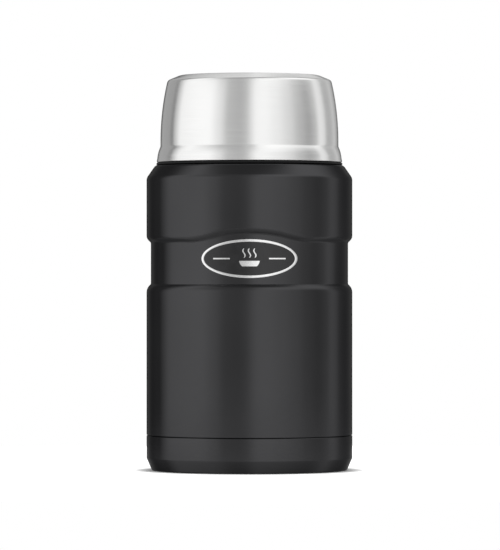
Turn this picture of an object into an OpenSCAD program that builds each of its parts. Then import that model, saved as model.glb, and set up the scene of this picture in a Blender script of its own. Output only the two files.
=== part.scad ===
// Insulated food jar: a double-walled steel jar with a screw stopper and a double-walled serving bowl
// that screws down over the stopper as the lid. Millimetres, +Z up, origin at the centre of the base.
// The badge faces -Y. The jar is drawn closed.

/* [Jar body] */
// Outside diameter of the jar
body_d = 96; // [92:0.5:104]
// Height of the flat shoulder that the lid stands over
body_h = 142.4; // [134:0.2:160]
// Thickness of the jar's steel sheet
steel = 0.6; // [0.5:0.05:0.8]
// Height of the slanting band at the foot
chamfer_h = 5.8; // [4:0.1:8]
// How far the foot stands in from the side
chamfer_in = 2.5; // [1.5:0.1:4]
// Width of the foot ring
foot_w = 4; // [3:0.1:6]
// Height of the hollow under the base
foot_h = 2.2; // [1.8:0.1:3]
// Height of the seam between the base cup and the outer wall
seam_z = 16; // [13:0.1:24]
// Width of the seam groove
seam_w = 0.6; // [0.5:0.1:1.4]
// Depth of the seam groove
seam_deep = 0.35; // [0.2:0.05:0.45]
// Height of the base cup's spigot inside the outer wall
spigot_h = 3; // [2:0.5:5]

/* [Waist and shoulder] */
// Height of the middle of the waist
waist_z = 96.6; // [92:0.1:102]
// Height of the waist between its inner corners
waist_h = 19.4; // [17:0.1:24]
// Depth of the waist
waist_deep = 2; // [1.5:0.1:2.4]
// Slope of the waist's two edges from the vertical, in degrees
waist_slope = 52; // [40:1:60]
// Rounding of the waist's two edges
waist_round = 4.7; // [2:0.1:5]
// Width of the arch that is pressed above the badge
arch_w = 48; // [44:1:52]
// Rise of that arch over the waist's upper corner
arch_rise = 3.8; // [3:0.1:4.6]
// Height of the shoulder's slope
shoulder_drop = 6.2; // [5:0.1:8]
// Rounding of the shoulder's upper edge
shoulder_round = 3; // [1:0.1:3.4]

/* [Food vessel] */
// Vacuum gap between the food vessel and the waist of the outer wall
waist_gap = 3.3; // [2:0.1:6]
// Vacuum gap between the base cup and the floor of the food vessel
floor_gap = 5.6; // [4:0.1:9]
// Corner radius of the floor
liner_corner = 8; // [4:0.5:9]
// Height of the floor dish, up to its weld
dish_h = 10; // [9:0.5:16]
// Drop from the shoulder to the top of the vessel's inner slope
liner_top_drop = 2; // [1.8:0.1:4]
// Height of the vessel's inner slope
liner_slope_h = 6.5; // [5:0.5:10]
// Thickness of the heat-reflecting foil
foil_t = 0.15; // [0.1:0.05:0.3]

/* [Mouth and neck] */
// Inside diameter of the mouth
mouth_d = 65.8; // [62:0.2:67]
// Height of the neck over the shoulder
neck_h = 15.6; // [14:0.2:20]
// Vacuum gap between the two walls of the neck
neck_gap = 0.5; // [0.3:0.1:0.7]
// Thickness of the rubber ring that lies on the shoulder
ring_t = 0.9; // [0.8:0.1:1.6]

/* [Screw threads] */
// Number of thread starts
starts = 4; // [3:1:5]
// Height of a thread ridge
ridge_h = 1; // [0.8:0.05:1.1]
// Width of a ridge where it leaves the wall
ridge_w = 1.6; // [1.2:0.1:1.7]
// Width of a ridge along its crest
crest_w = 0.9; // [0.6:0.1:1]
// Clearance over the crest of a ridge
thread_fit = 0.3; // [0.25:0.05:0.5]
// Clearance along the flanks of a ridge
flank_fit = 0.25; // [0.2:0.05:0.4]
// Sweep of each ridge on the neck, in degrees
neck_sweep = 110; // [80:10:130]
// Sweep of each ridge inside the stopper and inside the bowl's collar, in degrees
nut_sweep = 60; // [40:10:80]
// Sweep of each ridge on the outside of the stopper, in degrees
stopper_sweep = 90; // [60:10:110]

/* [Stopper] */
// Wall of the stopper's skirt
skirt_t = 1.5; // [1.3:0.1:1.9]
// Height of the grip over the mouth of the jar
grip_h = 14; // [10:0.5:16]
// Thickness of the stopper's top and of its plug
stopper_t = 1.5; // [1.2:0.1:2]
// Depth of the plug below the mouth
plug_deep = 12; // [8:0.5:14]
// Clearance between the plug and the mouth
plug_fit = 0.6; // [0.4:0.1:1]
// Thickness of the gasket that lies on the mouth
gasket_t = 1.6; // [1.2:0.1:2]
// Number of grooves around the grip
groove_count = 30; // [20:1:36]
// Depth of the grip grooves
groove_deep = 0.7; // [0.4:0.1:0.9]
// Depth of the round recess in the stopper's top
top_recess = 3; // [1:0.1:4]
// Width of the finger bar across that recess
bar_w = 9; // [6:0.5:14]

/* [Serving bowl] */
// Room between the stopper's top and the bowl
head_room = 8.8; // [7.5:0.1:20]
// Air gap between the bowl's two walls at its side
bowl_air = 0.8; // [0.5:0.1:1.6]
// Air gap between the bowl's two floors
floor_air = 3.2; // [2.8:0.1:5]
// How far the bowl's lip flares out from its side
lip_flare = 2.4; // [1.8:0.1:3]
// Height of the flared lip band
lip_h = 7.8; // [7:0.1:10]
// Thickness of the bowl's steel sheet
bowl_steel = 0.5; // [0.4:0.05:0.6]
// Radius of the curve that the bowl's side follows upwards
side_curve = 125; // [110:5:220]
// Height of the slanting band around the bowl's flat foot
crown_h = 3.1; // [2.4:0.1:3.6]
// Width of that slanting band
crown_w = 5.8; // [4:0.1:8]
// Wall of the threaded collar in the bowl
collar_t = 0.9; // [0.8:0.05:1]
// Height of the threaded collar
collar_h = 9; // [8:0.5:11]
// Thickness of the ring under the collar
seal_t = 1.2; // [0.8:0.1:1.6]

/* [Badge] */
// Width of the badge
badge_w = 44; // [36:0.5:46]
// Bare band between the badge and the edges of the waist and its arch
badge_gap = 2.7; // [2:0.1:4]
// Width of the bright rim
badge_rim = 1.2; // [1:0.1:2]
// Thickness of the badge's plate, and of the bright trim on it
badge_t = 0.3; // [0.2:0.05:0.5]

/* [Small parts] */
// Thickness of the rubber pad in the base
pad_t = 1.5; // [1.2:0.1:1.7]
// Radius of the plug that closes the vacuum hole
seal_plug_r = 1.4; // [1:0.1:2]
// Radius of the getter pill in the vacuum space
getter_r = 4; // [3:0.5:5]
// Distance from the middle of the base to the getter
getter_x = 20; // [14:1:26]

/* [Hidden] */

fit = 0.1;      // clearance between pieces that are made up together
run = 0.3;      // clearance between pieces that move past each other
far = 100;      // longer than any cut has to be
$fn = 96;

// Mouth, stopper, collar and bowl, from the inside out
mouth_r = mouth_d / 2;
neck_in_r = mouth_r + steel + neck_gap;
neck_r = neck_in_r + steel;
skirt_in_r = neck_r + ridge_h + thread_fit;
skirt_r = skirt_in_r + skirt_t;
collar_in_r = skirt_r + ridge_h + thread_fit;
collar_r = collar_in_r + collar_t;
flange_r = collar_r + fit - run;            // flange of the stopper, inside the bowl
bowl_in_r = collar_r + fit;
bowl_r = bowl_in_r + 2 * bowl_steel + bowl_air;
lip_r = bowl_r + lip_flare;

// Outer wall
lip_overhang = 0.2;                         // how far the lip stands over the shoulder's edge
body_r = body_d / 2;
shoulder_r = lip_r - lip_overhang;
waist_r = body_r - waist_deep;
foot_r = body_r - chamfer_in;
hollow_r = foot_r - foot_w;                 // inner edge of the foot ring
hollow_slope = 1;                           // how far the hollow's side leans in
pad_r = hollow_r - hollow_slope - 2 * run;
seam_top = seam_z + seam_w;
waist_edge = waist_deep / tan(waist_slope); // height of the slope at each edge of the waist
waist_lo = waist_z - waist_h / 2;
waist_hi = waist_z + waist_h / 2;
mouth_z = body_h + neck_h;
neck_corner = 1;
ring_margin = 0.3;                          // from the shoulder ring's edge to the shoulder's edge

// Food vessel
liner_r = waist_r - 2 * steel - waist_gap;
cup_floor_z = foot_h + steel;
liner_floor_z = cup_floor_z + floor_gap + steel;
liner_seam_z = liner_floor_z + dish_h;
liner_top_z = body_h - liner_top_drop;
liner_slope_z = liner_top_z - liner_slope_h;

// Stopper
ring_top = body_h + ring_t;
skirt_gap = 0.5;                            // from the shoulder ring to the skirt
skirt_z = ring_top + skirt_gap;
gasket_gap = 0.5;                           // from the gasket's edge to the skirt
flange_t = 0.9;
flange_top = skirt_z + flange_t;
plug_r = mouth_r - plug_fit;
plug_z = mouth_z - plug_deep;
gasket_top = mouth_z + gasket_t;
plug_flange_t = 1.4;
ledge_z = gasket_top + plug_flange_t;       // where the plug's flange meets the cap
stopper_top = mouth_z + grip_h;
chamber_wall = 3.4;                         // wall of the cap over the ledge
chamber_r = skirt_r - chamber_wall;
recess_edge = 3;                            // from the finger recess to the chamber's wall
chamber_top = stopper_top - top_recess - stopper_t;
collar_z = flange_top + seal_t;
grip_z = collar_z + collar_h;               // where the grip's grooves start

// Threads: the height at which each ridge starts, and the rise in one turn
pitch = ridge_w + crest_w + 2 * flank_fit;
lead = pitch * starts;
thread_in = 1.8;                            // from a part's edge to its lowest ridge
neck_thread_z = body_h + 5;
nut_thread_z = skirt_z + thread_in;
stopper_thread_z = collar_z + thread_in - 0.3;
collar_thread_z = collar_z + thread_in + 0.2;

// Serving bowl
lip_gap = 0.1;                              // from the shoulder ring to the lip
lip_z = ring_top + lip_gap;
band_top = lip_z + lip_h;
curve_z = band_top + 2;                     // where the side starts to curve in
crown_fall = 0.9;                           // how far the bowl's foot falls to its edge
bowl_floor_z = stopper_top + head_room;
jar_h = bowl_floor_z + 2 * bowl_steel + floor_air;
crown_z = jar_h - crown_h;
bowl_corner = 6.5;

// Badge
badge_h = waist_h + arch_rise - 2 * badge_gap;
badge_z = waist_lo + badge_gap + badge_h / 2;
arch_r = (arch_rise * arch_rise + arch_w * arch_w / 4) / (2 * arch_rise);
arch_mid_z = waist_hi + arch_rise - arch_r;

// Colours
body_black = "#2c2c2e";
satin_steel = "#c9cac9";
plastic_black = "#1d1d1f";
rubber_black = "#151516";
silicone_grey = "#9a9c9e";
foil_silver = "#d8d8da";
foam_white = "#f2f2ee";

// ---- paths ----

function unit(v) = v / norm(v);
function reversed(list) = [for (i = [len(list) - 1 : -1 : 0]) list[i]];
function left(v) = [-v[1], v[0]];

// Points along the arc that rounds the corner b between a and c, with no more than half of each side used
function rounded(a, b, c, radius, steps) =
    let (
        back = unit(a - b),
        ahead = unit(c - b),
        half = acos(max(-1, min(1, back * ahead))) / 2,
        reach = min(radius / tan(half), 0.48 * norm(a - b), 0.48 * norm(c - b)),
        r = reach * tan(half),
        middle = b + unit(back + ahead) * r / sin(half),
        from = b + back * reach - middle,
        turn = 180 - 2 * half,
        side = (back[0] * ahead[1] - back[1] * ahead[0]) > 0 ? -1 : 1
    )
    [for (i = [0 : steps])
        let (t = side * turn * i / steps)
        middle + [from[0] * cos(t) - from[1] * sin(t), from[0] * sin(t) + from[1] * cos(t)]];

// A path through corners [r, z, rounding]: sharp where the rounding is 0
function path(corners, steps = 5) =
    [for (i = [0 : len(corners) - 1])
        let (p = [corners[i][0], corners[i][1]])
        each (i == 0 || i == len(corners) - 1 || corners[i][2] == 0) ? [p] :
            rounded([corners[i - 1][0], corners[i - 1][1]], p,
                [corners[i + 1][0], corners[i + 1][1]], corners[i][2], steps)];

// The same path moved sideways by t, to the left of the way it runs
function beside(points, t) =
    [for (i = [0 : len(points) - 1])
        let (
            a = left(unit(i == 0 ? points[1] - points[0] : points[i] - points[i - 1])),
            b = left(unit(i == len(points) - 1 ? points[i] - points[i - 1] : points[i + 1] - points[i]))
        )
        points[i] + (a + b) * t / (1 + a * b)];

// Paths joined end to end, without the points that they share
function joined(paths) =
    let (all = [for (one = paths) each one])
    [for (i = [0 : len(all) - 1]) if (i == 0 || norm(all[i] - all[i - 1]) > 0.001) all[i]];

// Points on an arc about middle, from angle a to angle b
function arc(middle, radius, a, b, steps) =
    [for (i = [0 : steps])
        let (t = a + (b - a) * i / steps)
        middle + radius * [cos(t), sin(t)]];

// A turned sheet: the path is one face, and the other lies t to its left
module turned_sheet(points, t) {
    other = [for (p = beside(points, t)) [max(0, p[0]), p[1]]];
    rotate_extrude() polygon(concat(points, reversed(other)));
}

module ring(inner, outer, low, high) {
    rotate_extrude() translate([inner, low]) square([outer - inner, high - low]);
}

// ---- screw threads ----

// Four corners of a ridge's section at an angle; its height falls off at the two ends
function ridge_section(wall_r, crest_r, z, a, full) =
    let (
        top_r = wall_r + (crest_r - wall_r) * (full ? 1 : 0.35),
        root_r = wall_r + (crest_r > wall_r ? -0.25 : 0.35),
        low_high = [
            [root_r, z - ridge_w / 2], [top_r, z - crest_w / 2],
            [top_r, z + crest_w / 2], [root_r, z + ridge_w / 2]
        ],
        section = crest_r > wall_r ? low_high : reversed(low_high)
    )
    [for (p = section) [p[0] * cos(a), p[0] * sin(a), p[1]]];

module ridge(wall_r, crest_r, z, from, sweep) {
    steps = round(sweep / 10);
    points = [for (i = [0 : steps])
        let (t = sweep * i / steps)
        each ridge_section(wall_r, crest_r, z + lead * t / 360, from + t, i > 0 && i < steps)];
    sides = [for (i = [0 : steps - 1], k = [0 : 3])
        let (a = 4 * i + k, b = 4 * i + (k + 1) % 4)
        each [[a, b, b + 4], [a, b + 4, a + 4]]];
    last = 4 * steps;
    ends = [[3, 2, 1], [3, 1, 0], [last, last + 1, last + 2], [last, last + 2, last + 3]];
    polyhedron(points, concat(sides, ends));
}

// All the starts of one thread. Two threads whose phase heights lie half a pitch apart run clear of each
// other, so the start angle of each follows from its height
module thread(wall_r, crest_r, z, phase_z, sweep) {
    for (k = [0 : starts - 1])
        ridge(wall_r, crest_r, z, 360 * k / starts + 360 * (z - phase_z) / lead, sweep);
}

// ---- jar ----

wall_path = path([
    [body_r, seam_top, 0],
    [body_r, waist_lo - waist_edge, waist_round],
    [waist_r, waist_lo, 0.3],
    [waist_r, waist_hi, 0.3],
    [body_r, waist_hi + waist_edge, waist_round],
    [body_r, body_h - shoulder_drop, 3.5],
    [shoulder_r, body_h, shoulder_round],
    [neck_r, body_h, neck_corner],
    [neck_r, mouth_z - steel, 0]
]);

// Everything in front, over the middle of the waist and under the arch's curve
module arch_region(grow) {
    intersection() {
        translate([0, 0, arch_mid_z]) rotate([90, 0, 0]) cylinder(r = arch_r + grow, h = far, $fn = 180);
        translate([-arch_w, -far, waist_z]) cube([2 * arch_w, far, far]);
    }
}

module outer_shell() {
    color(body_black) {
        difference() {
            union() {
                turned_sheet(wall_path, steel);
                intersection() {
                    rotate_extrude() polygon(concat(wall_path, [[0, mouth_z - steel], [0, seam_top]]));
                    arch_region(steel);
                    ring(waist_r - steel, body_r, waist_z, body_h - shoulder_drop);
                }
            }
            intersection() {
                arch_region(0);
                ring(waist_r, body_r + 1, waist_z, body_h - shoulder_drop);
            }
        }
        thread(neck_r, neck_r + ridge_h, neck_thread_z, neck_thread_z, neck_sweep);
    }
}

module base_cup() {
    cup_path = path([
        [0, foot_h, 0],
        [hollow_r - hollow_slope, foot_h, 0.8],
        [hollow_r, 0, 0.8],
        [foot_r, 0, 1.2],
        [body_r, chamfer_h, 1.5],
        [body_r, seam_z, 0]
    ]);
    ledge_r = body_r - seam_deep;
    spigot_r = body_r - steel - fit;
    color(body_black) difference() {
        union() {
            turned_sheet(cup_path, steel);
            ring(spigot_r - steel, ledge_r, seam_z - steel, seam_top);
            ring(spigot_r - steel, spigot_r, seam_z - steel, seam_top + spigot_h);
        }
        cylinder(r = seal_plug_r + fit, h = seam_z);
    }
}

module liner_wall() {
    color(satin_steel) turned_sheet(path([
        [liner_r, liner_seam_z, 0],
        [liner_r, liner_slope_z, 6],
        [mouth_r, liner_top_z, 3],
        [mouth_r, mouth_z, 0]
    ]), -steel);
    color(satin_steel) ring(mouth_r, neck_r, mouth_z - steel, mouth_z);
}

module liner_floor() {
    color(satin_steel) turned_sheet(path([
        [0, liner_floor_z, 0],
        [liner_r, liner_floor_z, liner_corner],
        [liner_r, liner_seam_z, 0]
    ], 8), -steel);
}

foil_end = 5;  // how far the foil stops below the vessel's inner slope

module radiation_foil() {
    inner = liner_r + steel + fit;
    color(foil_silver) ring(inner, inner + foil_t, liner_seam_z, liner_slope_z - foil_end);
}

module floor_foil() {
    color(foil_silver) translate([0, 0, liner_floor_z - steel - foil_t])
        cylinder(r = liner_r - liner_corner - 1, h = foil_t);
}

clip_t = 0.3;
getter_h = 2;

module getter() {
    color("#6d6a66") translate([getter_x, 0, cup_floor_z + clip_t]) cylinder(r = getter_r, h = getter_h);
}

module getter_clip() {
    color(satin_steel) translate([getter_x, 0, cup_floor_z]) difference() {
        cylinder(r = getter_r + fit + clip_t, h = clip_t + 0.8 * getter_h);
        translate([0, 0, clip_t]) cylinder(r = getter_r + fit, h = getter_h);
    }
}

seal_head_w = 2.4;     // how far the seal's head reaches past its stem
seal_head_r = seal_plug_r + seal_head_w;
seal_head_t = 0.6;
seal_stem_over = 0.5;  // how far the stem stands up inside

module vacuum_seal() {
    color("#8d7a4c") {
        translate([0, 0, foot_h - seal_head_t]) cylinder(r = seal_head_r, h = seal_head_t);
        translate([0, 0, foot_h - seal_head_t]) cylinder(r = seal_plug_r, h = seal_head_t + steel + seal_stem_over);
    }
}

module base_pad() {
    color(rubber_black) translate([0, 0, foot_h - pad_t]) difference() {
        cylinder(r = pad_r, h = pad_t);
        translate([0, 0, pad_t - seal_head_t - fit]) cylinder(r = seal_head_r + run, h = pad_t);
    }
}

module shoulder_ring() {
    color(rubber_black) ring(neck_r + neck_corner + fit, shoulder_r - ring_margin, body_h, ring_top);
}

// ---- badge ----

function ellipse(w, h, count = 72) = [for (i = [0 : count - 1]) [w / 2 * cos(360 * i / count), h / 2 * sin(360 * i / count)]];

// A flat figure in X and Z, wrapped on the waist as a plate between two radii
module on_waist(inner, thick) {
    intersection() {
        ring(waist_r + inner, waist_r + inner + thick, badge_z - badge_h, badge_z + badge_h);
        translate([0, 0, badge_z]) rotate([90, 0, 0]) linear_extrude(height = far) children();
    }
}

steam_h = badge_h / 4;
stroke = 0.9;
dash_x = badge_w * 0.29;  // from the badge's middle to the middle of each side dash
dash_w = badge_w * 0.18;

// One rising wisp of steam: a bar that sways once to each side
module wisp() {
    steps = 16;
    sway = 0.5;
    line = [for (i = [0 : steps]) [sway * sin(360 * i / steps), steam_h * i / steps]];
    polygon([each [for (p = line) p - [stroke / 2, 0]], each reversed([for (p = line) p + [stroke / 2, 0]])]);
}

module dish_with_steam() {
    dish_w = badge_h * 0.56;
    dish_low = -0.37 * dish_w;
    dish_h = 0.28 * dish_w;
    steam_low = 0.03 * dish_w;
    intersection() {
        polygon(ellipse(dish_w, dish_w));
        translate([-dish_w, dish_low]) square([2 * dish_w, dish_h]);
    }
    for (x = [-1 : 1]) translate([x * dish_w / 4, steam_low]) wisp();
}

module badge_plate() {
    color(plastic_black) on_waist(fit / 2, badge_t) polygon(ellipse(badge_w, badge_h));
}

module badge_trim() {
    color("#dcdcdc") on_waist(fit / 2 + badge_t, badge_t) {
        difference() {
            polygon(ellipse(badge_w, badge_h));
            polygon(ellipse(badge_w - 2 * badge_rim, badge_h - 2 * badge_rim));
        }
        dish_with_steam();
        for (side = [-1, 1]) translate([side * dash_x - dash_w / 2, -stroke / 2]) square([dash_w, stroke]);
    }
}

// ---- stopper ----

module stopper_gasket() {
    inner = plug_r + run;
    outer = skirt_in_r - gasket_gap;
    edge = 0.3;
    color(silicone_grey) rotate_extrude() polygon([
        [inner, mouth_z], [outer - edge, mouth_z], [outer, mouth_z + edge],
        [outer, gasket_top - edge], [outer - edge, gasket_top], [inner, gasket_top]
    ]);
}

module stopper_cap() {
    groove_r = 1.2;
    outside = path([
        [skirt_in_r, skirt_z, 0],
        [flange_r, skirt_z, 0],
        [flange_r, flange_top, 0],
        [skirt_r, flange_top, 0],
        [skirt_r, stopper_top, 1.5],
        [0, stopper_top, 0]
    ]);
    inside = [[0, chamber_top], [chamber_r, chamber_top], [chamber_r, ledge_z], [skirt_in_r, ledge_z]];
    color(plastic_black) {
        difference() {
            rotate_extrude() polygon(concat(outside, inside));
            translate([0, 0, stopper_top - top_recess]) difference() {
                cylinder(r = chamber_r - recess_edge, h = far);
                translate([-bar_w / 2, -far, 0]) cube([bar_w, 2 * far, far]);
            }
            for (i = [0 : groove_count - 1])
                rotate(360 * i / groove_count) translate([skirt_r + groove_r - groove_deep, 0, grip_z])
                    cylinder(r = groove_r, h = far, $fn = 24);
        }
        thread(skirt_in_r, skirt_in_r - ridge_h, nut_thread_z, neck_thread_z - pitch / 2, nut_sweep);
        thread(skirt_r, skirt_r + ridge_h, stopper_thread_z, stopper_thread_z, stopper_sweep);
    }
}

module stopper_plug() {
    inner_r = plug_r - stopper_t;
    color(plastic_black) rotate_extrude() polygon(concat(
        path([
            [0, plug_z, 0], [plug_r, plug_z, 2.5], [plug_r, gasket_top, 0],
            [skirt_in_r - fit, gasket_top, 0], [skirt_in_r - fit, ledge_z, 0], [inner_r, ledge_z, 0]
        ]),
        [[inner_r, plug_z + stopper_t + 1.5], [inner_r - 1.5, plug_z + stopper_t], [0, plug_z + stopper_t]]
    ));
}

module stopper_foam() {
    foam_r = plug_r - stopper_t - run;
    low = plug_z + stopper_t;
    color(foam_white) rotate_extrude() polygon([
        [0, low], [foam_r - 1.5, low], [foam_r, low + 1.5],
        [foam_r, chamber_top], [0, chamber_top]
    ]);
}

// ---- serving bowl ----

// The side's curve turns about this point, up to where it meets the slanting band of the bowl's foot
curve_mid = [bowl_r - side_curve, curve_z];
crown_a = asin((crown_z - curve_z) / side_curve);
crown_r = curve_mid[0] + side_curve * cos(crown_a);

module bowl_shell() {
    lip = path([
        [lip_r - 3, lip_z, 0],
        [lip_r, lip_z, 0.45],
        [lip_r - 0.8, lip_z + 2, 2],
        [bowl_r + 0.7, band_top - 1.3, 0.6],
        [bowl_r, band_top, 0.6],
        [bowl_r, curve_z, 0]
    ]);
    side = arc(curve_mid, side_curve, 0, crown_a - 1, 12);
    crown = path([
        side[12],
        [crown_r, crown_z, 2],
        [crown_r - crown_w, jar_h - crown_fall, 6],
        [0, jar_h, 0]
    ]);
    color(satin_steel) turned_sheet(joined([lip, side, crown]), bowl_steel);
}

module bowl_inner() {
    side_r = side_curve - bowl_r + bowl_in_r;
    stop_a = asin((bowl_floor_z - curve_z) / side_r);
    flange = path([
        [lip_r - 1.3, lip_z + bowl_steel, 0],
        [bowl_in_r, lip_z + bowl_steel, 1],
        [bowl_in_r, curve_z, 0]
    ]);
    side = arc(curve_mid, side_r, 0, 0.7 * stop_a, 10);
    top_r = curve_mid[0] + side_r * cos(stop_a);
    floor_corner = rounded(side[10], [top_r, bowl_floor_z], [0, bowl_floor_z], bowl_corner, 6);
    color(satin_steel)
        turned_sheet(joined([flange, side, floor_corner, [[0, bowl_floor_z]]]), -bowl_steel);
}

module bowl_collar() {
    color(plastic_black) {
        ring(collar_in_r, collar_r, collar_z, grip_z);
        thread(collar_in_r, collar_in_r - ridge_h, collar_thread_z, stopper_thread_z - pitch / 2, nut_sweep);
    }
}

module bowl_seal() {
    color(silicone_grey) ring(collar_in_r, flange_r, flange_top, collar_z);
}

outer_shell();
base_cup();
liner_wall();
liner_floor();
radiation_foil();
floor_foil();
getter();
getter_clip();
vacuum_seal();
base_pad();
badge_plate();
badge_trim();
shoulder_ring();
stopper_gasket();
stopper_cap();
stopper_plug();
stopper_foam();
bowl_seal();
bowl_shell();
bowl_inner();
bowl_collar();
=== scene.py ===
"""Insulated food jar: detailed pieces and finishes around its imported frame. Made for Blender 4.5."""

import math
from types import SimpleNamespace

import bmesh
import bpy
import numpy as np
from bpy.props import FloatProperty, FloatVectorProperty, IntProperty, PointerProperty
from bpy.types import Operator, Panel, PropertyGroup
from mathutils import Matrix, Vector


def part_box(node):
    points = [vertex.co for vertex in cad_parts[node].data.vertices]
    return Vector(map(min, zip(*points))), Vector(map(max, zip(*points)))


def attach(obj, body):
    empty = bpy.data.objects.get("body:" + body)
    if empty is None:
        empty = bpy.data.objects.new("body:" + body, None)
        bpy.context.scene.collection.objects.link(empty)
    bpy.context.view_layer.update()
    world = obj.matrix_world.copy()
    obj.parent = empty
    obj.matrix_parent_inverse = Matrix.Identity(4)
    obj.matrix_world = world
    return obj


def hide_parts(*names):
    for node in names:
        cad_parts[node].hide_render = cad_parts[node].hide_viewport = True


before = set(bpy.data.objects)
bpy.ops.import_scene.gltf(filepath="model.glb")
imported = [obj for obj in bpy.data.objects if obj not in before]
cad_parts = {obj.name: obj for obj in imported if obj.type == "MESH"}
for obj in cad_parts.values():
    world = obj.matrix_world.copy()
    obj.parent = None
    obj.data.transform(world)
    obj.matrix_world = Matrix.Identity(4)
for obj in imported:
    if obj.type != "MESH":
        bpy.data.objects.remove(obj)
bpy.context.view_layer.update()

bl_info = {
    "name": "Insulated food jar",
    "version": (1, 0, 0),
    "blender": (4, 5, 0),
    "location": "View3D > Sidebar > Food jar",
    "description": "Builds the pieces, finishes and studio of an insulated food jar",
    "category": "Object",
}

MM = 0.001


def node_size(node):
    """Outer radius, lowest height and highest height of a round CAD node, in millimetres."""
    low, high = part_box(node)
    return max(high.x, high.y) / MM, low.z / MM, high.z / MM


# ---- settings ----


def length(name, description, millimetres):
    return FloatProperty(
        name=name, description=description, default=millimetres * MM, unit="LENGTH", precision=5
    )


def shade(name, description, colour):
    return FloatVectorProperty(
        name=name, description=description, default=colour, subtype="COLOR", size=3, min=0.0, max=1.0
    )


class JarSizes(PropertyGroup):
    sheet: length("Sheet", "Thickness of the jar's steel sheet", 0.6)
    waist_low: length("Waist, lower corner", "Height of the lower inner corner of the waist", 86.8)
    waist_high: length("Waist, upper corner", "Height of the upper inner corner of the waist", 106.05)
    waist_depth: length("Waist depth", "How far the waist is pressed in", 2.0)
    waist_round: length("Waist, lower edge", "Radius that the waist's lower edge runs out with", 4.6)
    waist_turn: length("Waist, upper edge", "Radius that the waist's upper edge runs out with", 3.0)
    arch_width: length("Arch width", "Width of the arch pressed in above the badge", 48.0)
    arch_rise: length("Arch rise", "Rise of the arch over the waist's upper corner", 3.8)
    shoulder_drop: length("Shoulder slope", "Height of the shoulder's slope", 6.2)
    shoulder_height: length("Shoulder", "Height of the flat shoulder", 142.4)
    shoulder_radius: length("Shoulder radius", "Outer radius of the flat shoulder", 43.7)
    shoulder_round: length("Shoulder edge", "Rounding of the shoulder's upper edge", 3.0)
    neck_radius: length("Neck radius", "Outer radius of the neck", 34.6)
    mouth_radius: length("Mouth radius", "Inner radius of the mouth", 32.9)
    seam_height: length("Seam", "Height of the lower edge of the seam groove", 16.0)
    chamfer_height: length("Foot band", "Height of the slanting band at the foot", 5.8)
    foot_radius: length("Foot radius", "Outer radius of the foot ring", 45.5)
    hollow_radius: length("Hollow radius", "Inner radius of the foot ring", 41.5)
    hollow_height: length("Hollow height", "Height of the hollow under the base", 2.2)
    seal_hole: length("Seal hole", "Radius of the hole that the vacuum seal closes", 1.5)


class ScrewSizes(PropertyGroup):
    starts: IntProperty(name="Starts", description="Number of thread starts", default=4, min=1, max=8)
    pitch: length("Pitch", "Height from one ridge to the next", 3.0)
    ridge_height: length("Ridge height", "How far a thread ridge stands out of its wall", 1.0)
    ridge_width: length("Ridge width", "Width of a ridge where it leaves its wall", 1.6)
    crest_width: length("Crest width", "Width of a ridge along its crest", 0.9)
    neck_start: length("Neck thread", "Height at which the neck's ridges start", 147.4)
    nut_start: length("Nut thread", "Height at which the stopper's inner ridges start", 145.6)
    stopper_start: length("Stopper thread", "Height at which the stopper's outer ridges start", 147.4)
    collar_start: length("Collar thread", "Height at which the ridges inside the collar start", 147.9)


class StopperSizes(PropertyGroup):
    skirt_inside: length("Skirt, inside", "Inner radius of the stopper's skirt", 35.9)
    skirt_outside: length("Skirt, outside", "Outer radius of the stopper's skirt", 37.4)
    flange: length("Flange", "Thickness of the flange at the skirt's lower edge", 0.9)
    chamber_radius: length("Chamber", "Inner radius of the stopper's hollow top", 34.0)
    top_thickness: length("Top", "Thickness of the stopper's top under its recess", 1.5)
    recess: length("Recess", "Depth of the two finger hollows in the top", 3.0)
    bar_width: length("Finger bar", "Width of the bar between the finger hollows", 9.0)
    groove_depth: length("Groove", "Depth of the grooves around the grip", 0.7)
    groove_count: IntProperty(name="Grooves", description="Grooves around the grip", default=30, min=8)


class BowlSizes(PropertyGroup):
    sheet: length("Sheet", "Thickness of the bowl's steel sheet", 0.5)
    side_radius: length("Side radius", "Outer radius of the bowl's side at its lip band", 41.5)
    flare_curve: length("Lip curve", "Radius of the curve that the lip band flares out with", 16.5)
    inside_radius: length("Inside radius", "Inner radius of the bowl at its collar", 39.7)
    band_height: length("Lip band", "Height of the flared lip band", 7.8)
    side_curve: length("Side curve", "Radius of the curve that the side follows", 125.0)
    crown_height: length("Foot band height", "Height of the slanting band around the bowl's foot", 3.1)
    crown_width: length("Foot band width", "Width of the slanting band around the bowl's foot", 5.8)
    floor_height: length("Bowl floor", "Height of the bowl's inner floor", 180.8)


class BadgeSizes(PropertyGroup):
    width: length("Badge width", "Width of the oval badge", 44.0)
    height: length("Badge height", "Height of the oval badge", 17.8)
    middle: length("Badge middle", "Height of the middle of the badge", 98.5)
    rim: length("Rim", "Width of the bright rim", 1.2)
    thickness: length("Plate", "Thickness of the plate, and of the bright trim on it", 0.3)
    stroke: length("Stroke", "Width of the badge's fine lines", 0.9)


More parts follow.
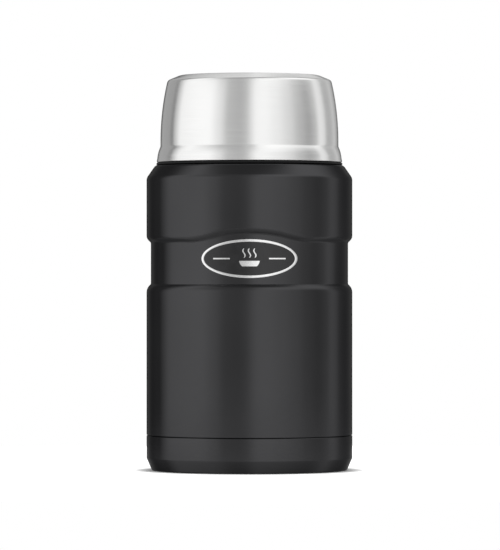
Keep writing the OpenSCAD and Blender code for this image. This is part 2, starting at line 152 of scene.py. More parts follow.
class Finishes(PropertyGroup):
    coat: shade("Coat", "Colour of the gleam on the jar's black coat", (0.056, 0.056, 0.058))
    steel: shade("Steel", "Colour of the satin steel", (0.80, 0.80, 0.795))
    plastic: shade("Plastic", "Colour of the stopper's plastic", (0.02, 0.02, 0.022))
    # the rubber's near-black colour is partly painted shade, for the ring under the lid's lip
    rubber: shade("Rubber", "Colour of the rubber pad and ring", (0.007, 0.007, 0.0075))
    silicone: shade("Silicone", "Colour of the silicone rings", (0.34, 0.35, 0.36))
    badge: shade("Badge", "Colour of the badge's plate", (0.010, 0.010, 0.011))
    bright: shade("Bright trim", "Colour of the badge's bright trim", (0.84, 0.84, 0.84))
    foam: shade("Foam", "Colour of the insulating foam", (0.84, 0.84, 0.8))
    foil: shade("Foil", "Colour of the aluminium foil", (0.86, 0.86, 0.87))
    getter: shade("Getter", "Colour of the getter's pressed powder", (0.17, 0.16, 0.15))
    seal: shade("Vacuum seal", "Colour of the vacuum seal's metal", (0.47, 0.38, 0.2))


class StudioSettings(PropertyGroup):
    camera_distance: length("Camera distance", "From the camera to the jar's axis", 2200.0)
    camera_height: length("Camera height", "Height of the level camera", 91.0)
    camera_side: length("Camera side", "How far the camera stands to the right", 0.26)
    lens: FloatProperty(name="Lens", description="Focal length in millimetres", default=308.6)
    floor_radius: length("Floor radius", "Radius of the floor", 320.0)


class FoodJar(PropertyGroup):
    jar: PointerProperty(type=JarSizes)
    screw: PointerProperty(type=ScrewSizes)
    stopper: PointerProperty(type=StopperSizes)
    bowl: PointerProperty(type=BowlSizes)
    badge: PointerProperty(type=BadgeSizes)
    finishes: PointerProperty(type=Finishes)
    studio: PointerProperty(type=StudioSettings)


def in_mm(group):
    """The group's settings by name, with its lengths in millimetres."""
    values = {}
    for prop in group.bl_rna.properties:
        if prop.type in {"FLOAT", "INT"}:
            value = getattr(group, prop.identifier)
            values[prop.identifier] = value / MM if prop.type == "FLOAT" else value
    return SimpleNamespace(**values)


# ---- paths: lists of points (radius, height) in millimetres ----

LONGEST_REACH = 0.48  # the most of a leg that the rounding of a corner takes up


def unit(v):
    return v / np.linalg.norm(v)


def rounded(a, b, c, radius, steps):
    """Points along the arc that rounds the corner b between a and c."""
    back, ahead = unit(a - b), unit(c - b)
    half = math.acos(max(-1.0, min(1.0, back @ ahead))) / 2
    legs = (LONGEST_REACH * np.linalg.norm(leg) for leg in (a - b, c - b))
    reach = min(radius / math.tan(half), *legs)
    middle = b + unit(back + ahead) * reach * math.tan(half) / math.sin(half)
    start = b + back * reach - middle
    side = -1 if back[0] * ahead[1] - back[1] * ahead[0] > 0 else 1
    points = []
    for i in range(steps + 1):
        t = side * (math.pi - 2 * half) * i / steps
        cos, sin = math.cos(t), math.sin(t)
        points.append(middle + np.array((start[0] * cos - start[1] * sin, start[0] * sin + start[1] * cos)))
    return points


def path(*corners, steps=8):
    """A path through corners (radius, height, rounding). A corner without a rounding stays sharp."""
    at = [np.array(c[:2], float) for c in corners]
    points = []
    for i, corner in enumerate(corners):
        if len(corner) < 3 or i in (0, len(corners) - 1):
            points.append(at[i])
        else:
            points += rounded(at[i - 1], at[i], at[i + 1], corner[2], steps)
    return points


def loop(*corners, steps=8):
    """A path that runs back to its first corner, which stays sharp."""
    return path(*corners, corners[0], steps=steps)[:-1]


def beside(points, distance):
    """The same path moved sideways, to the left of the way it runs."""
    moved = []
    for i, p in enumerate(points):
        ways = []
        if i > 0:
            ways.append(unit(p - points[i - 1]))
        if i < len(points) - 1:
            ways.append(unit(points[i + 1] - p))
        sides = [np.array((-w[1], w[0])) for w in ways]
        scale = distance if len(sides) == 1 else distance / (1 + sides[0] @ sides[1])
        shifted = p + sum(sides) * scale
        moved.append(np.array((max(shifted[0], 0.0), shifted[1])))
    return moved


def spaced(points, gap, low=-math.inf, high=math.inf):
    """The path with more points on it, so that none lie further apart than gap between two heights."""
    out = [points[0]]
    for a, b in zip(points, points[1:]):
        inside = min(a[1], b[1]) < high and max(a[1], b[1]) > low
        count = max(1, math.ceil(np.linalg.norm(b - a) / gap)) if inside else 1
        out += [a + (b - a) * k / count for k in range(1, count + 1)]
    return out


def cut(points, height):
    """The path's points up to a height, and those above it."""
    return [p for p in points if p[1] <= height], [p for p in points if p[1] > height]


def curve(middle, radius, start, end, steps):
    """Points on an arc, from one angle to another, in degrees."""
    angles = np.radians(np.linspace(start, end, steps + 1))
    return [np.array(middle) + radius * np.array((math.cos(t), math.sin(t))) for t in angles]


def sheet(points, thickness):
    """The closed section of a turned sheet: the path, and back along its other face."""
    return points + beside(points, thickness)[::-1]


def smooth(x):
    """An even rise from 0 to 1 that starts and ends softly."""
    x = np.clip(x, 0.0, 1.0)
    return x * x * (3 - 2 * x)


def soft_max(a, b, blend):
    """The larger of two values, run together where they differ by less than blend."""
    share = np.clip(0.5 + 0.5 * (a - b) / blend, 0.0, 1.0)
    return a * share + b * (1 - share) + blend * share * (1 - share) * 0.5


def around(count=144):
    return np.arange(count) * 2 * math.pi / count


# ---- meshes ----

SAME_POINT = 2e-7  # metres: points closer than this become one
NO_LENGTH = 1e-8  # metres: edges and faces smaller than this go
SHARP_EDGE = 32.0  # degrees: an edge that turns more than this isn't shaded smooth


class Solid:
    """Points in millimetres and faces, collected before they become a mesh."""

    def __init__(self):
        self.points, self.faces = [], []

    def net(self, rows, close_rows=False, first_cap=False, last_cap=False):
        """A net of quads over rows of points. Each row is a ring, and all have the same number of points."""
        first, count, wide = len(self.points), len(rows), len(rows[0])
        for row in rows:
            self.points += [tuple(p) for p in row]
        for i in range(count if close_rows else count - 1):
            a, b = first + i * wide, first + (i + 1) % count * wide
            for j in range(wide):
                k = (j + 1) % wide
                self.faces.append((a + j, a + k, b + k, b + j))
        if first_cap:
            self.faces.append(tuple(range(first + wide - 1, first - 1, -1)))
        if last_cap:
            self.faces.append(tuple(range(len(self.points) - wide, len(self.points))))

    def turned(self, section, angles=None, shape=None, closed=True):
        """Turns the section around the axis. shape takes radii, heights and angles to radii and heights."""
        angles = around() if angles is None else angles
        rows = []
        for r, z in section:
            radius, height = np.full(len(angles), float(r)), np.full(len(angles), float(z))
            if shape:
                radius, height = shape(radius, height, angles)
            rows.append(np.stack((radius * np.sin(angles), -radius * np.cos(angles), height), axis=1))
        self.net(rows, close_rows=closed)

    def to_mesh(self, name, sharp):
        mesh = bpy.data.meshes.new(name)
        mesh.from_pydata([tuple(c * MM for c in p) for p in self.points], [], self.faces)
        build = bmesh.new()
        build.from_mesh(mesh)
        bmesh.ops.remove_doubles(build, verts=build.verts, dist=SAME_POINT)
        bmesh.ops.dissolve_degenerate(build, edges=build.edges, dist=NO_LENGTH)
        bmesh.ops.recalc_face_normals(build, faces=build.faces)
        build.to_mesh(mesh)
        build.free()
        mesh.shade_smooth()
        mesh.set_sharp_from_angle(angle=math.radians(sharp))
        return mesh


def add_piece(name, solid, body, slot, *nodes, sharp=SHARP_EDGE):
    """Makes one piece: its mesh, its slot's finish, the body it rides on and the CAD node it stands for."""
    piece = bpy.data.objects.new(name, solid.to_mesh(name, sharp))
    bpy.context.scene.collection.objects.link(piece)
    piece.data.materials.append(finish_of(slot))
    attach(piece, body)
    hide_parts(*nodes)


def add_turned(name, section, body, slot, node, angles=None):
    """Makes one piece that is a closed section turned around the axis."""
    solid = Solid()
    solid.turned(section, angles)
    add_piece(name, solid, body, slot, node)


RIDGE_STEP = 2.5  # degrees from one section of a ridge to the next
RUN_OUT = 9.0  # degrees over which a ridge rises out of its wall, at either end
OUTWARD, INWARD = 1, -1
ROOT = {OUTWARD: -0.2, INWARD: 0.3}  # from the wall's face to a ridge's root inside the wall
SHOULDER = 0.86  # how high on a ridge its flanks give way to the bevels of its crest


def add_ridges(solid, screw, wall, side, start, phase, sweep):
    """Thread ridges on a wall, outward or inward: all the starts, over sweep degrees from the height start.

    The first ridge would pass the angle 0 at the height phase. Their ends run out smoothly.
    """
    lead = screw.pitch * screw.starts
    root = wall + ROOT[side]
    half_root, half_crest = screw.ridge_width / 2, screw.crest_width / 2
    flank, bevel = 0.02, 0.16  # how far the section's corners are drawn in and out along the wall
    steps = round(sweep / RIDGE_STEP)
    for k in range(screw.starts):
        first = 360.0 * k / screw.starts + 360.0 * (start - phase) / lead
        rows = []
        for i in range(steps + 1):
            t = sweep * i / steps
            full = max(0.02, float(smooth(min(t, sweep - t) / RUN_OUT)))
            height = side * screw.ridge_height * full
            upper = [
                (root, half_root),
                (wall, half_root - flank),
                (wall + height * SHOULDER, half_crest + flank),
                (wall + height, half_crest - bevel),
            ]
            section = [(r, -dz) for r, dz in upper] + upper[::-1]
            a, z = math.radians(first + t), start + lead * t / 360.0
            rows.append([(r * math.cos(a), r * math.sin(a), z + dz) for r, dz in section])
        solid.net(rows, first_cap=True, last_cap=True)


# ---- finishes ----


class Nodes:
    """The shader nodes of a material or of the world."""

    def __init__(self, owner, empty=False):
        owner.use_nodes = True
        self.tree = owner.node_tree
        if empty:
            self.tree.nodes.clear()

    def node(self, kind, inputs=None, **settings):
        """Adds a node. Each input takes a number or a colour, or the output of another node."""
        made = self.tree.nodes.new("ShaderNode" + kind)
        for name, value in settings.items():
            setattr(made, name, value)
        self.feed(made, inputs or {})
        return made

    def feed(self, node, inputs):
        for socket, value in inputs.items():
            if isinstance(value, bpy.types.NodeSocket):
                self.tree.links.new(value, node.inputs[socket])
            else:
                node.inputs[socket].default_value = value

    def math(self, operation, a, b):
        return self.node("Math", {0: a, 1: b}, operation=operation).outputs["Value"]

    def mix(self, low, high, share):
        """A value that goes from low to high as share goes from 0 to 1."""
        rest = self.math("SUBTRACT", 1.0, share)
        return self.math("ADD", self.math("MULTIPLY", low, rest), self.math("MULTIPLY", high, share))

    def ranged(self, value, start, end, low, high, interpolation="SMOOTHSTEP"):
        """A value that goes from low to high while another goes from start to end."""
        limits = {"From Min": start, "From Max": end, "To Min": low, "To Max": high}
        made = self.node("MapRange", {"Value": value, **limits}, interpolation_type=interpolation)
        return made.outputs["Result"]


class Finish(Nodes):
    """A material. Plain values are set on its shader's sockets, and patterns are linked to the others."""

    def __init__(self, name, colour, roughness, metallic=0.0, **sockets):
        self.material = bpy.data.materials.new(name)
        super().__init__(self.material)
        self.material.diffuse_color = (*colour, 1.0)
        self.colour = colour
        self.shader = self.tree.nodes["Principled BSDF"]
        self.feed(self.shader, {"Base Color": (*colour, 1.0), "Roughness": roughness, "Metallic": metallic})
        self.feed(self.shader, {socket.replace("_", " "): value for socket, value in sockets.items()})
        self.where = self.node("TexCoord").outputs["Object"]

    def noise(self, scale, detail=2.0, roughness=0.5, where=None, distortion=0.0):
        inputs = {"Scale": scale, "Detail": detail, "Roughness": roughness, "Distortion": distortion}
        return self.node("TexNoise", {"Vector": where or self.where, **inputs}).outputs["Fac"]

    def cells(self, scale):
        return self.node("TexVoronoi", {"Vector": self.where, "Scale": scale}).outputs["Distance"]

    def tint(self, source, darker, lighter, start=0.35, end=0.65):
        """Base colour that varies between two shades of the finish's colour."""
        ramp = self.node("ValToRGB", {"Fac": source})
        for stop, place, factor in zip(ramp.color_ramp.elements, (start, end), (darker, lighter)):
            stop.position = place
            stop.color = (*(min(1.0, c * factor) for c in self.colour), 1.0)
        self.feed(self.shader, {"Base Color": ramp.outputs["Color"]})

    def gloss(self, source, low, high, start=0.3, end=0.7):
        """Roughness that varies between two values."""
        self.feed(self.shader, {"Roughness": self.ranged(source, start, end, low, high, "LINEAR")})

    def relief(self, source, height, strength):
        """Fine relief, with its height in millimetres."""
        bump = self.node("Bump", {"Height": source, "Distance": height * MM, "Strength": strength})
        self.feed(self.shader, {"Normal": bump.outputs["Normal"]})

    def turned_lines(self, coarse, fine, lean):
        """Coordinates for lines around the axis, over a side as over a top. Scales are per metre."""
        split = self.node("SeparateXYZ", {"Vector": self.where}).outputs
        flat = self.node("CombineXYZ", {"X": split["X"], "Y": split["Y"]}).outputs["Vector"]
        radius = self.node("VectorMath", {0: flat}, operation="LENGTH").outputs["Value"]
        along = self.math("ADD", split["Z"], self.math("MULTIPLY", radius, lean))
        axes = (("X", split["X"], coarse), ("Y", split["Y"], coarse), ("Z", along, fine))
        scaled = {axis: self.math("MULTIPLY", value, scale) for axis, value, scale in axes}
        return self.node("CombineXYZ", scaled).outputs["Vector"]


def mottled(finish, grain, tint, gloss, relief):
    """Gives a finish one fine pattern, which varies its colour and its gloss and stands out as relief."""
    pattern = finish.noise(*grain)
    finish.tint(pattern, *tint)
    finish.gloss(pattern, *gloss)
    finish.relief(pattern, *relief)
    return finish.material


def black_coat(colour):
    """Baked black coat on steel. It gives back so little light that its gleam is its colour.

    The tint holds the gleam down towards its outline. A fine orange peel and faint drifts break it up.
    """
    finish = Finish("black_coat", colour, 0.2, 1.0, Specular_Tint=(0.41, 0.41, 0.41, 1.0))
    drift = finish.noise(22.0, 3.0)
    peel = finish.noise(1150.0, 2.0, 0.45)
    finish.tint(drift, 0.96, 1.04)
    finish.gloss(drift, 0.17, 0.21)
    finish.relief(peel, 0.004, 0.3)
    return finish.material


def satin_steel(name, colour, lean, gloss):
    """Turned and satin-finished stainless steel, with fine lines around the axis.

    lean is -1 for a form that closes at its top and 1 for one that closes at its bottom.
    """
    finish = Finish(name, colour, 0.2, 1.0, Anisotropic=0.45, Anisotropic_Rotation=0.25)
    tangent = finish.node("Tangent", direction_type="RADIAL", axis="Z")
    finish.feed(finish.shader, {"Tangent": tangent.outputs["Tangent"]})
    lines = finish.noise(1.0, 4.0, 0.6, finish.turned_lines(55.0, 2600.0, lean))
    drift = finish.noise(30.0, 3.0)
    spread = finish.ranged(finish.math("ADD", lines, drift), 0.7, 1.3, 0.0, 1.0, "LINEAR")
    finish.tint(spread, 0.975, 1.02, 0.2, 0.8)
    finish.gloss(spread, *gloss, 0.2, 0.8)
    finish.relief(lines, 0.0022, 0.3)
    return finish.material


def bowl_steel(colour):
    return satin_steel("bowl_steel", colour, -1.0, (0.17, 0.25))


def vessel_steel(colour):
    return satin_steel("vessel_steel", colour, 1.0, (0.2, 0.3))


def moulded_plastic(colour):
    """Black moulded plastic with a fine spark-eroded grain."""
    finish = Finish("moulded_plastic", colour, 0.42, IOR=1.5)
    grain = finish.noise(2400.0, 3.0, 0.6)
    drift = finish.noise(45.0, 2.0)
    finish.tint(drift, 0.85, 1.2)
    finish.gloss(finish.math("MULTIPLY", grain, drift), 0.36, 0.5, 0.12, 0.38)
    finish.relief(grain, 0.012, 0.5)
    return finish.material


def soft_rubber(name, colour, roughness, ior, shine=0.0):
    """Moulded rubber or silicone: matt, a little cloudy, with a fine skin."""
    finish = Finish(name, colour, roughness, Sheen_Weight=shine, IOR=ior)
    skin = finish.noise(1700.0, 3.0, 0.55)
    clouds = finish.noise(70.0, 3.0)
    finish.tint(clouds, 0.88, 1.12)
    finish.gloss(clouds, roughness - 0.06, roughness + 0.06)
    finish.relief(skin, 0.015, 0.5)
    return finish.material


# Near-black, and with a low IOR so that it gleams less than rubber does: partly the rubber's own black,
# partly painted shade for the ring under the lid's lip.
def rubber_with_painted_shade(colour):
    return soft_rubber("rubber", colour, 0.7, 1.3)


def seal_silicone(colour):
    return soft_rubber("silicone", colour, 0.45, 1.45, 0.15)


def badge_enamel(colour):
    """Glossy black enamel with the faint waves of a printed plate."""
    finish = Finish("badge_enamel", colour, 0.24, IOR=1.5)
    return mottled(finish, (260.0, 2.0), (0.8, 1.25), (0.2, 0.28), (0.01, 0.3))


def bright_metal(colour):
    """Polished bright metal of the badge's rim and motif."""
    finish = Finish("bright_metal", colour, 0.2, 1.0)
    return mottled(finish, (900.0, 4.0, 0.6), (0.93, 1.05), (0.16, 0.26), (0.004, 0.4))


def crinkled_foil(colour):
    """Thin aluminium foil with small sharp creases."""
    finish = Finish("crinkled_foil", colour, 0.16, 1.0)
    creases = finish.cells(190.0)
    folds = finish.noise(95.0, 4.0, 0.6, distortion=0.8)
    finish.tint(folds, 0.92, 1.04)
    finish.gloss(folds, 0.1, 0.24)
    finish.relief(finish.math("ADD", creases, folds), 0.35, 0.6)
    return finish.material


def pressed_powder(colour):
    """The getter pill: dark pressed metal powder."""
    finish = Finish("pressed_powder", colour, 0.85, 0.4)
    return mottled(finish, (5200.0, 4.0, 0.7), (0.6, 1.5), (0.75, 0.95), (0.05, 0.7))


def dull_brass(colour):
    """The solder-like metal of the vacuum seal, with light stains."""
    finish = Finish("dull_brass", colour, 0.38, 1.0)
    return mottled(finish, (480.0, 4.0, 0.6), (0.7, 1.15), (0.28, 0.5), (0.02, 0.4))


def bead_foam(colour):
    """White bead foam: rounded beads with darker joints between them."""
    finish = Finish("bead_foam", colour, 0.85)
    beads = finish.cells(420.0)
    finish.tint(beads, 1.04, 0.86, 0.25, 0.75)
    finish.gloss(beads, 0.75, 0.92)
    finish.relief(finish.math("MULTIPLY", beads, -1.0), 0.3, 0.6)
    return finish.material


# For each material slot: the setting that holds its colour, and what makes its finish
MAKERS = {
    "black_coat": ("coat", black_coat),
    "bowl_steel": ("steel", bowl_steel),
    "vessel_steel": ("steel", vessel_steel),
    "black_plastic": ("plastic", moulded_plastic),
    "rubber": ("rubber", rubber_with_painted_shade),
    "silicone": ("silicone", seal_silicone),
    "badge_black": ("badge", badge_enamel),
    "badge_bright": ("bright", bright_metal),
    "foil": ("foil", crinkled_foil),
    "getter_metal": ("getter", pressed_powder),
    "seal_metal": ("seal", dull_brass),
    "foam": ("foam", bead_foam),
}
FINISHES = {}


def finish_of(slot):
    """The finish of a material slot, made on first use."""
    if slot not in FINISHES:
        setting, maker = MAKERS[slot]
        FINISHES[slot] = maker(getattr(bpy.context.scene.food_jar.finishes, setting)[:])
    return FINISHES[slot]


# ---- the jar ----

ARCH_BLEND = 2.4  # how softly the arch runs into the waist's edge
NO_ARCH = 99.0  # stands for the distance to the arch where there is none
EDGE_START, EDGE_END = -6.0, 12.0  # where the profile of a waist's edge starts and ends, from its corner
WAIST_MARGIN = 5.0  # how far the fine rows go on below the waist and above the arch
FACE_STEP, INNER_STEP = 0.55, 1.1  # between those rows, on the wall's face and on its inside


def waist_dent(jar):
    """The pressed waist and the arch over the badge, as a shape that draws a plain wall inwards."""
    arch_radius = (jar.arch_rise**2 + jar.arch_width**2 / 4) / (2 * jar.arch_rise)
    arch_middle = jar.waist_high + jar.arch_rise - arch_radius
    waist_middle = (jar.waist_low + jar.waist_high) / 2

    def edge(radius):
        """Depth against the distance out of the waist: up at 45 degrees, and out to the side on an arc."""
        run_out = jar.waist_depth + radius * math.tan(math.radians(22.5))
        bend = curve((run_out, radius), radius, 225.0, 270.0, 10)
        corner = path((EDGE_START, jar.waist_depth), (0.0, jar.waist_depth, 0.4), tuple(bend[0]))
        return np.array(corner + bend[1:] + [(EDGE_END, 0.0)]).T

    low_edge, high_edge = edge(jar.waist_round), edge(jar.waist_turn)

    def shape(radius, height, angles):
        across = radius * np.sin(angles)
        front = np.cos(angles) > 0
        # rows near the upper edge rise with the arch, so that they run along its slope
        arch_top = arch_middle + np.sqrt(np.maximum(arch_radius**2 - across**2, 0.0)) - jar.waist_high
        lift = np.where(front, np.maximum(soft_max(arch_top, 0.0, ARCH_BLEND), 0.0), 0.0)
        rising = smooth((height - waist_middle) / 5.0)
        fading = smooth((jar.waist_high + 16.0 - height) / 12.0)
        height = height + lift * rising * fading
        band = np.maximum(jar.waist_low - height, height - jar.waist_high)
        arch = np.hypot(across, height - arch_middle) - arch_radius
        arch = np.where(front & (height > waist_middle), arch, NO_ARCH)
        outside = -soft_max(-band, -arch, ARCH_BLEND)
        low_depth, high_depth = np.interp(outside, *low_edge), np.interp(outside, *high_edge)
        return radius - np.where(height < waist_middle, low_depth, high_depth), height

    return shape


def add_outer_wall(jar, screw):
    body_r, seam_top, neck_top = node_size("outer_shell")
    outer = path(
        (body_r - jar.sheet, seam_top),
        (body_r, seam_top, 0.12),
        (body_r, jar.shoulder_height - jar.shoulder_drop, 3.5),
        (jar.shoulder_radius, jar.shoulder_height, jar.shoulder_round),
        (jar.neck_radius, jar.shoulder_height, 1.0),
        (jar.neck_radius, neck_top),
    )
    side_start = seam_top + 1.0
    hem, upper = cut(outer, side_start)
    low, high = jar.waist_low - WAIST_MARGIN, jar.waist_high + jar.arch_rise + WAIST_MARGIN
    side = [np.array((body_r, z)) for z in (low, high)]
    back = [np.array((body_r - jar.sheet, z)) for z in (high, low)]
    face = spaced(hem + side + upper, FACE_STEP, low, high)
    inner = spaced(beside(upper, jar.sheet)[::-1] + back + [face[0]], INNER_STEP, low, high)
    # in degrees around, and closer together at the front, where the arch is
    front, rear = np.arange(-40.0, 40.0, 1.0), np.arange(40.0, 320.0, 2.5)
    wall = Solid()
    wall.turned(face + inner[:-1], np.radians(np.concatenate((front, rear))), waist_dent(jar))
    add_ridges(wall, screw, jar.neck_radius, OUTWARD, screw.neck_start, screw.neck_start, sweep=110.0)
    add_piece("jar_wall", wall, "jar", "black_coat", "outer_shell")


def add_base_cup(jar):
    body_r, foot, spigot_top = node_size("base_cup")
    seam_top = node_size("outer_shell")[1]
    inside = body_r - jar.sheet
    spigot = inside - 0.1  # it goes into the outer wall with this much play
    face = path(
        (jar.seal_hole, jar.hollow_height),
        (jar.hollow_radius - 1.0, jar.hollow_height, 0.8),
        (jar.hollow_radius, foot, 0.8),
        (jar.foot_radius, foot, 1.0),
        (body_r, jar.chamfer_height, 0.9),
        (body_r, jar.seam_height, 0.12),
        (body_r - 0.4, seam_top - 0.15),
        (spigot, seam_top - 0.1),
        (spigot, spigot_top),
    )
    back = path(
        (spigot - jar.sheet, spigot_top),
        (spigot - jar.sheet, jar.seam_height - 1.0, 0.5),
        (inside, jar.seam_height - 2.0, 0.5),
        (inside, jar.chamfer_height, 1.0),
        (jar.foot_radius, foot + jar.sheet, 0.8),
        (jar.hollow_radius, foot + jar.sheet, 0.5),
        (jar.hollow_radius - 1.5, jar.hollow_height + jar.sheet, 0.8),
        (jar.seal_hole, jar.hollow_height + jar.sheet),
    )
    add_turned("foot_cup", face + back, "jar", "black_coat", "base_cup")


def add_base_pad():
    pad_r, low, high = node_size("base_pad")
    disc, pocket = low + 0.25, high - 0.7  # sunk into its face, and into its back for the vacuum seal
    groove = ((-0.9, 0.0, 0.3), (-0.5, 0.45, 0.2), (0.5, 0.45, 0.2), (0.9, 0.0, 0.3))
    section = path(
        (0.0, disc),
        (7.0, disc, 0.2),
        (7.4, low, 0.2),
        *((r + off, low + depth, rounding) for r in (14.0, 24.0, 34.0) for off, depth, rounding in groove),
        (pad_r, low, 0.5),
        (pad_r, high, 0.2),
        (4.1, high),
        (4.1, pocket),
        (0.0, pocket),
        steps=4,
    )
    add_turned("foot_pad", section, "jar", "rubber", "base_pad")


def add_vessel_wall(jar):
    outside, weld, mouth = node_size("liner_wall")
    inside, neck = outside - jar.sheet, jar.mouth_radius + jar.sheet
    top = jar.shoulder_height - 2.0
    draw_in = top - 6.5  # from here the wall draws in under the neck
    turn = np.linspace(0.0, math.pi, 7)
    bead = (inside - 0.12 * np.sin(turn), weld + 0.7 * (1 - np.cos(turn)))
    face = path(
        (inside, weld + 1.5),
        (inside, draw_in, 6.0),
        (jar.mouth_radius, top, 3.0),
        (jar.mouth_radius, mouth, 0.5),
        (jar.neck_radius, mouth, 0.25),
        (jar.neck_radius, mouth - jar.sheet),
    )
    back = path((neck, mouth - jar.sheet), (neck, top, 3.0), (outside, draw_in, 6.0), (outside, weld))
    section = list(np.stack(bead, axis=1)) + face + back
    add_turned("vessel_wall", section, "jar", "vessel_steel", "liner_wall")


def add_vessel_floor(jar):
    outside, weld = node_size("liner_wall")[:2]
    floor = node_size("liner_floor")[1] + jar.sheet
    raised = floor + 0.4  # the dish's middle
    inside, level = outside - jar.sheet, 24.0
    step = path((0.0, raised), (20.0, raised, 0.8), (21.5, floor, 0.8), (level, floor), steps=5)
    rim = path((0.0, floor), (inside, floor, 8.0), (inside, weld), steps=14)
    dish = sheet(step + [p for p in rim if p[0] > level], -jar.sheet)
    add_turned("vessel_floor", dish, "jar", "vessel_steel", "liner_floor")


# The ring's near-black rubber is partly painted shade: it darkens the line under the lid's lip as the lid's
# shade would.
def add_shoulder_ring(jar):
    outside, low, high = node_size("shoulder_ring")
    inside = jar.neck_radius + 1.1
    land, dip = 1.4, high - 0.35  # the ring's upper face dips between two lands
    slope_end = land + 0.5
    section = loop(
        (inside, low),
        (outside, low, 0.2),
        (outside, high, 0.45),
        (outside - land, high, 0.2),
        (outside - slope_end, dip, 0.2),
        (inside + slope_end, dip, 0.2),
        (inside + land, high, 0.2),
        (inside, high, 0.3),
        steps=5,
    )
    add_turned("rest_ring", section, "jar", "rubber", "shoulder_ring")


class FOODJAR_OT_outer_wall(Operator):
    """Build the jar's outer wall with its waist, arch, shoulder, neck and thread"""

    bl_idname = "foodjar.outer_wall"
    bl_label = "Outer wall"

    def execute(self, context):
        add_outer_wall(in_mm(context.scene.food_jar.jar), in_mm(context.scene.food_jar.screw))
        return {"FINISHED"}


class FOODJAR_OT_base(Operator):
    """Build the base cup up to the seam groove, and its rubber pad"""

    bl_idname = "foodjar.base"
    bl_label = "Base cup and pad"

    def execute(self, context):
        add_base_cup(in_mm(context.scene.food_jar.jar))
        add_base_pad()
        return {"FINISHED"}


class FOODJAR_OT_vessel(Operator):
    """Build the food vessel: its wall with the rolled mouth and the weld's bead, and its floor dish"""

    bl_idname = "foodjar.vessel"
    bl_label = "Food vessel"

    def execute(self, context):
        jar = in_mm(context.scene.food_jar.jar)
        add_vessel_wall(jar)
        add_vessel_floor(jar)
        return {"FINISHED"}


class FOODJAR_OT_shoulder_ring(Operator):
    """Build the black rubber ring that lies on the shoulder under the lid"""

    bl_idname = "foodjar.shoulder_ring"
    bl_label = "Shoulder ring"

    def execute(self, context):
        add_shoulder_ring(in_mm(context.scene.food_jar.jar))
        return {"FINISHED"}


# ---- the badge ----

PLATE_LIFT, PLATE_BEVEL = 0.05, 0.12  # of the plate off the waist, and around its face
TRIM_SINK = 0.02  # how far the trim reaches into the plate
TRIM_BEVEL = 0.14  # around the raised figures
RIM_EDGE = 0.1  # height of the rim's upright edge, below its bulge


class BadgePlace:
    """The waist as the ground of the badge: u runs across it, v up it, and heights out of it."""

    def __init__(self, jar, badge):
        self.waist = node_size("outer_shell")[0] - jar.waist_depth
        self.middle = badge.middle
        self.wide, self.tall = badge.width / 2, badge.height / 2

    def at(self, u, v, height):
        r = self.waist + height
        return (u, -math.sqrt(r * r - u * u), self.middle + v)

    def oval(self, height, share=1.0, inset=0.0):
        """The badge's outline at a height, as a share of its size or inset."""
        wide, tall = self.wide * share - inset, self.tall * share - inset
        return [self.at(wide * math.cos(a), tall * math.sin(a), height) for a in around(120)]


def add_badge_plate(place, top):
    rows = [place.oval(PLATE_LIFT), place.oval(top - PLATE_BEVEL), place.oval(top, inset=PLATE_BEVEL)]
    rows += [place.oval(top, share) for share in np.linspace(0.94, 0.0, 12)]
    rows += [place.oval(PLATE_LIFT, share) for share in np.linspace(0.0, 0.9, 8)]
    plate = Solid()
    plate.net(rows, close_rows=True)
    add_piece("badge_base", plate, "jar", "badge_black", "badge_plate")


def add_figure(solid, edges, place, foot, top):
    """A raised figure between pairs of edge points (u, v), with bevelled sides and ends."""
    edges = [(np.array(a, float), np.array(b, float)) for a, b in edges]
    middles = [(a + b) / 2 for a, b in edges]
    inwards = {0: unit(middles[1] - middles[0]), len(edges) - 1: unit(middles[-2] - middles[-1])}
    rows = []
    for i, (a, b) in enumerate(edges):
        across, along = unit(b - a) * TRIM_BEVEL, inwards.get(i, 0.0) * TRIM_BEVEL
        rows.append([(*a, foot), (*(a + across + along), top), (*(b - across + along), top), (*b, foot)])
    first, last = ([(*a, foot), (*a, foot), (*b, foot), (*b, foot)] for a, b in (edges[0], edges[-1]))
    rows = [[place.at(*p) for p in row] for row in (first, *rows, last)]
    solid.net(rows, first_cap=True, last_cap=True)


def dish_figure(radius):
    """The dish under the steam: round, and cut off straight at its rim and at its foot."""
    rim, foot = -0.18 * radius, -0.74 * radius
    half = math.sqrt(radius**2 - rim**2) - 0.05
    edges = []
    for u in np.linspace(-half, half, 21):
        edges.append(((u, max(foot, -math.sqrt(radius**2 - u * u))), (u, rim)))
    return edges


def wisp_figure(badge, middle, start):
    """A wavy wisp of steam that thins out at both ends."""
    rise = np.linspace(0.0, 1.0, 17)
    half = badge.stroke / 2 * np.sin(np.linspace(0.5, 2.64, 17)) ** 0.5
    u = middle + 0.5 * np.sin(2 * math.pi * rise)
    v = start + badge.height / 4 * rise
    return list(zip(zip(u - half, v), zip(u + half, v)))


def dash_figure(badge, side):
    """A level dash beside the dish."""
    half = badge.stroke / 2
    along = side * badge.width * 0.29 + np.linspace(-1, 1, 7) * badge.width * 0.09
    return [((u, -half), (u, half)) for u in along]


def add_badge_trim(place, badge, plate_top):
    trim = Solid()
    foot, top = plate_top - TRIM_SINK, plate_top + badge.thickness
    section = [(0.0, foot)]
    for t in np.linspace(0.0, math.pi, 9):
        bulge = (badge.thickness - RIM_EDGE) * math.sin(t) ** 0.6
        section.append((badge.rim / 2 * (1 - math.cos(t)), plate_top + RIM_EDGE + bulge))
    section.append((badge.rim, foot))
    trim.net([place.oval(height, inset=inset) for inset, height in section], close_rows=True)
    dish_r = badge.height * 0.28
    figures = [dish_figure(dish_r)]
    figures += [wisp_figure(badge, share * dish_r, 0.06 * dish_r) for share in (-0.5, 0.0, 0.5)]
    figures += [dash_figure(badge, side) for side in (-1, 1)]
    for figure in figures:
        add_figure(trim, figure, place, foot, top)
    add_piece("badge_rim_and_motif", trim, "jar", "badge_bright", "badge_trim")


